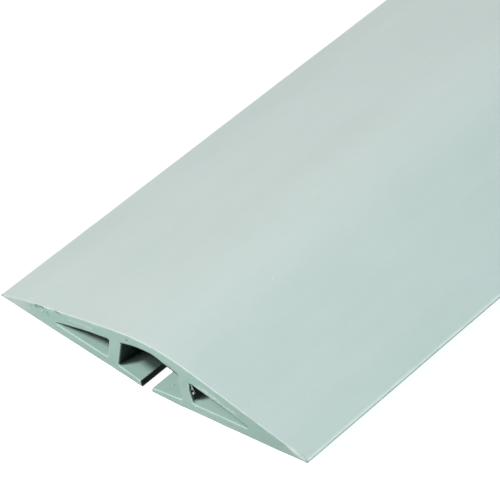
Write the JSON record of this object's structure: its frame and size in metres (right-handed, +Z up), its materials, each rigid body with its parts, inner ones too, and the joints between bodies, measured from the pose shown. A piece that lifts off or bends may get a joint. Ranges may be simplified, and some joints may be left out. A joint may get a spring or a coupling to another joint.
{
  "type": "cable protector ramp",
  "caption": "Flexible low-profile cable cover: domed crown over a slit cable channel, with a hollow ramp and a base lip on each side.",
  "frame": {"origin": "middle of the strip's length and width, at the height of its lowest edge, where it stands on the floor", "axes": "+Y along the strip, away from the cut end that faces the viewer; +X across it, towards the right ramp; +Z up through the crown"},
  "size_m": [0.0848, 0.3, 0.0121],
  "materials": {
    "flexible_pvc": "matte grey-green flexible PVC, smooth as extruded"
  },
  "bodies": {
    "crown": {"crown": "flexible_pvc"},
    "left_half": {"left_ramp": "flexible_pvc"},
    "right_half": {"right_ramp": "flexible_pvc"},
    "left_lip": {"left_lip": "flexible_pvc"},
    "right_lip": {"right_lip": "flexible_pvc"}
  },
  "joints": [
    {"name": "left_half_flex", "type": "hinge", "parent": "crown", "child": "left_half", "pos_m": [-0.0046, 0, 0.01081], "axis": [0, 1, 0], "range_deg": [-5.6, 25], "stiffness_Nm_per_rad": 0.5},
    {"name": "right_half_flex", "type": "hinge", "parent": "crown", "child": "right_half", "pos_m": [0.0046, 0, 0.01081], "axis": [0, -1, 0], "range_deg": [-5.6, 25], "stiffness_Nm_per_rad": 0.5},
    {"name": "left_lip_flex", "type": "hinge", "parent": "left_half", "child": "left_lip", "pos_m": [-0.00787, 0, 0.00102], "axis": [0, -1, 0], "range_deg": [-20, 45], "stiffness_Nm_per_rad": 0.3},
    {"name": "right_lip_flex", "type": "hinge", "parent": "right_half", "child": "right_lip", "pos_m": [0.00767, 0, 0.001], "axis": [0, 1, 0], "range_deg": [-20, 45], "stiffness_Nm_per_rad": 0.3}
  ]
}
